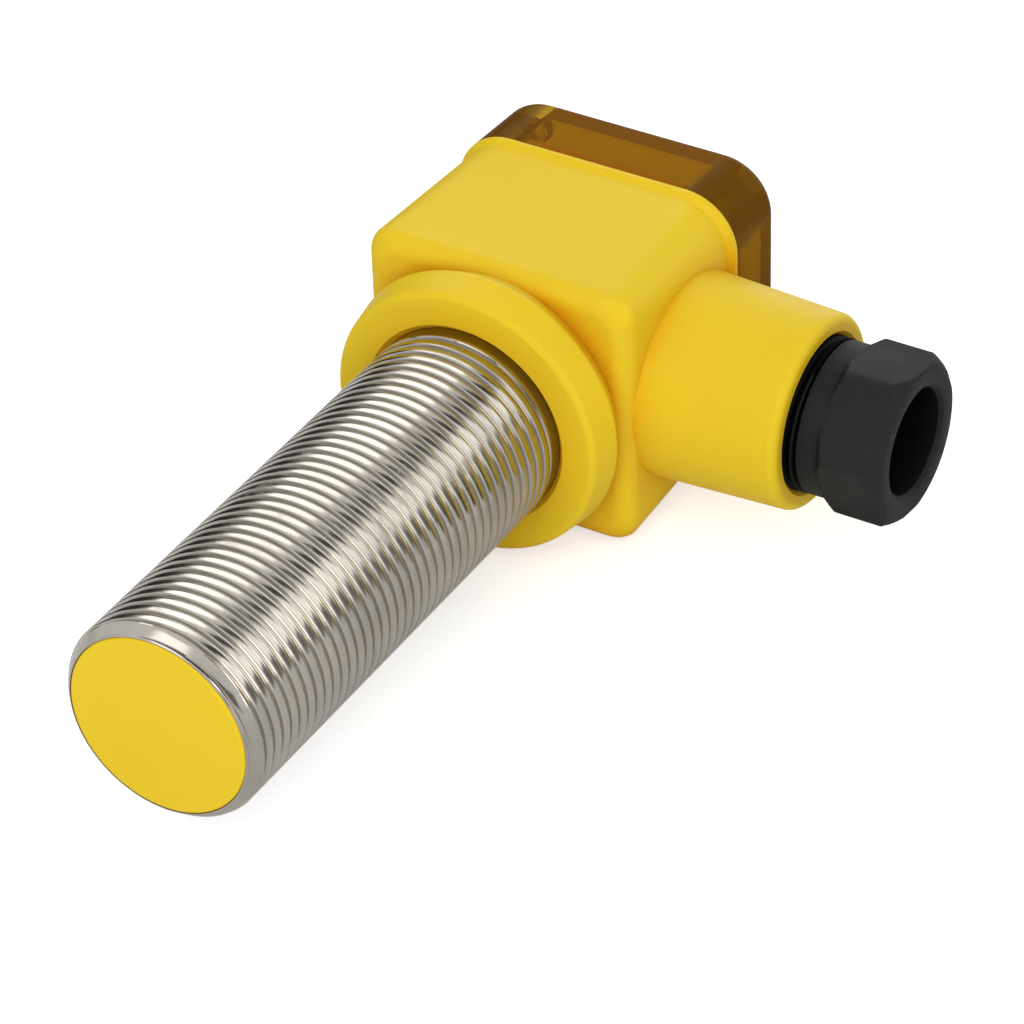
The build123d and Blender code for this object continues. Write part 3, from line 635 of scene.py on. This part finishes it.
class SENSOR_OT_stage(bpy.types.Operator):
    """Camera, soft light, world and pale floor"""
    bl_idname = "sensor.stage"
    bl_label = "Stage"

    def execute(self, context):
        self.camera(context.scene)
        self.world(context.scene)
        self.floor()
        self.lamp("Back left softbox", (-0.55, 1.00, 0.83), 1.05, 0.78, 4.2)
        self.lamp("Back right strip", (0.83, 1.00, 0.70), 0.60, 0.90, 1.45)
        self.lamp("Front fill", (0.50, -1.00, 0.90), 1.70, 1.50, 16.0, mirrored=False)
        self.card("Right gap", (0.325, 0.75, 0.718), 0.27, 0.60, 0.01)
        self.card("Left gap", (-0.10, 0.195, 0.0275), 0.33, 0.075, 0.01, facing=(-1, 0, 0))
        self.card("Low right card", (0.71, 0.75, 0.13), 0.40, 0.34, 0.20)
        self.card("Front gap", (0.15, -1.10, 0.16), 2.00, 0.60, 0.20)
        self.card("Back glow", (-0.08, 1.50, 0.16), 1.75, 0.40, 0.02, glow=3.4)
        self.card("Side glow", (0.90, -0.06, 0.56), 0.34, 0.80, 0.02, glow=4.5)
        self.card("Front glow", (-0.24, -0.70, 0.78), 0.60, 0.45, 0.02, glow=2.2)
        return {"FINISHED"}

    def camera(self, scene):
        """Camera at the photograph's viewing angle."""
        stand = (0.299081, -0.398862, 0.393374)
        lens_data = bpy.data.cameras.new("Photo camera")
        lens_data.lens = 174.635
        lens_data.sensor_width = 36.0
        camera = bpy.data.objects.new("Photo camera", lens_data)
        scene.collection.objects.link(camera)
        azimuth = math.radians(31.55)
        elevation = math.radians(36.05)
        roll = math.radians(1.87)
        back = Vector((math.sin(azimuth) * math.cos(elevation),
                       -math.cos(azimuth) * math.cos(elevation), math.sin(elevation)))
        level = (-back).cross(Vector((0, 0, 1))).normalized()
        down = (-back).cross(level)
        right = level * math.cos(roll) + down * math.sin(roll)
        up = level * math.sin(roll) - down * math.cos(roll)
        turn = Matrix((right, up, back)).transposed().to_4x4()
        camera.matrix_world = Matrix.Translation(stand) @ turn
        scene.camera = camera

    def world(self, scene):
        """Pale world: white to the camera and in reflections, softer as light."""
        world = bpy.data.worlds.new("Studio")
        world.use_nodes = True
        scene.world = world
        tree = world.node_tree
        base = tree.nodes["Background"]
        base.inputs["Color"].default_value = (1, 1, 1, 1)
        path = put(tree, "ShaderNodeLightPath")
        either = put(tree, "ShaderNodeMath", operation="MAXIMUM")
        any_of = put(tree, "ShaderNodeMath", operation="MAXIMUM")
        level = put(tree, "ShaderNodeMapRange", {"To Min": 0.52, "To Max": 1.0})
        tree.links.new(path.outputs["Is Camera Ray"], either.inputs[0])
        tree.links.new(path.outputs["Is Glossy Ray"], either.inputs[1])
        tree.links.new(either.outputs[0], any_of.inputs[0])
        tree.links.new(path.outputs["Is Transmission Ray"], any_of.inputs[1])
        tree.links.new(any_of.outputs[0], level.inputs["Value"])
        tree.links.new(level.outputs["Result"], base.inputs["Strength"])

    def floor(self):
        """Pale floor just under the part, which keeps its shadow."""
        low = cad_box[0][2]
        half = 3.0
        mesh = bpy.data.meshes.new("Floor")
        corners = [(-half, -half, low), (half, -half, low), (half, half, low), (-half, half, low)]
        mesh.from_pydata(corners, [], [(0, 1, 2, 3)])
        floor = bpy.data.objects.new("Floor", mesh)
        bpy.context.scene.collection.objects.link(floor)
        material, tree, shader = open_material("Pale floor")
        shader.inputs["Base Color"].default_value = (0.84, 0.84, 0.84, 1)
        shader.inputs["Roughness"].default_value = 0.9
        shader.inputs["Specular IOR Level"].default_value = 0.1
        shader.inputs["Emission Color"].default_value = (1, 1, 1, 1)
        path = put(tree, "ShaderNodeLightPath")
        level = put(tree, "ShaderNodeMapRange", {"To Min": 0.0, "To Max": 0.55})
        tree.links.new(path.outputs["Is Camera Ray"], level.inputs["Value"])
        tree.links.new(level.outputs["Result"], shader.inputs["Emission Strength"])
        mesh.materials.append(material)

    def lamp(self, name, place, width, height, watts, mirrored=True):
        """Rectangular softbox that faces the part."""
        data = bpy.data.lights.new(name, "AREA")
        data.shape = "RECTANGLE"
        data.size = width
        data.size_y = height
        data.energy = watts
        lamp = bpy.data.objects.new(name, data)
        lamp.visible_glossy = mirrored
        bpy.context.scene.collection.objects.link(lamp)
        lamp.matrix_world = turned_to(place, Vector(place) - PART_MIDDLE)

    def card(self, name, place, width, height, grey, glow=0.0, facing=None):
        """Card that shows only in reflections, for the metal's dark and bright lines."""
        mesh = bpy.data.meshes.new(name)
        x, z = width / 2, height / 2
        mesh.from_pydata([(-x, -z, 0), (x, -z, 0), (x, z, 0), (-x, z, 0)], [], [(0, 1, 2, 3)])
        card = bpy.data.objects.new(name, mesh)
        bpy.context.scene.collection.objects.link(card)
        away = Vector(facing) if facing else Vector(place) - PART_MIDDLE
        card.matrix_world = turned_to(place, away)
        material, tree, shader = open_material(name)
        shader.inputs["Base Color"].default_value = (grey, grey, grey, 1)
        shader.inputs["Roughness"].default_value = 1.0
        shader.inputs["Emission Color"].default_value = (1, 1, 1, 1)
        shader.inputs["Emission Strength"].default_value = glow
        mesh.materials.append(material)
        card.visible_camera = False
        card.visible_diffuse = False
        card.visible_transmission = False
        card.visible_shadow = False


OPERATORS = [SENSOR_OT_barrel, SENSOR_OT_gland, SENSOR_OT_housing, SENSOR_OT_cover,
             SENSOR_OT_inside, SENSOR_OT_stage]


class SENSOR_PT_panel(bpy.types.Panel):
    """Lists the steps that dress the sensor"""
    bl_idname = "SENSOR_PT_panel"
    bl_label = "Proximity sensor"
    bl_space_type = "VIEW_3D"
    bl_region_type = "UI"
    bl_category = "Sensor"

    def draw(self, context):
        for operator in OPERATORS:
            self.layout.operator(operator.bl_idname)


CLASSES = [SensorSizes, SensorColours, *OPERATORS, SENSOR_PT_panel]


def register():
    for item in CLASSES:
        bpy.utils.register_class(item)
    bpy.types.Scene.sensor_sizes = bpy.props.PointerProperty(type=SensorSizes)
    bpy.types.Scene.sensor_colours = bpy.props.PointerProperty(type=SensorColours)


def unregister():
    del bpy.types.Scene.sensor_sizes
    del bpy.types.Scene.sensor_colours
    for item in reversed(CLASSES):
        bpy.utils.unregister_class(item)


def main():
    """Dress every piece."""
    register()
    bpy.context.scene.view_settings.view_transform = "Standard"
    bpy.ops.sensor.barrel()
    bpy.ops.sensor.gland()
    bpy.ops.sensor.housing()
    bpy.ops.sensor.cover()
    bpy.ops.sensor.inside()
    bpy.ops.sensor.stage()


if __name__ == "__main__":
    main()
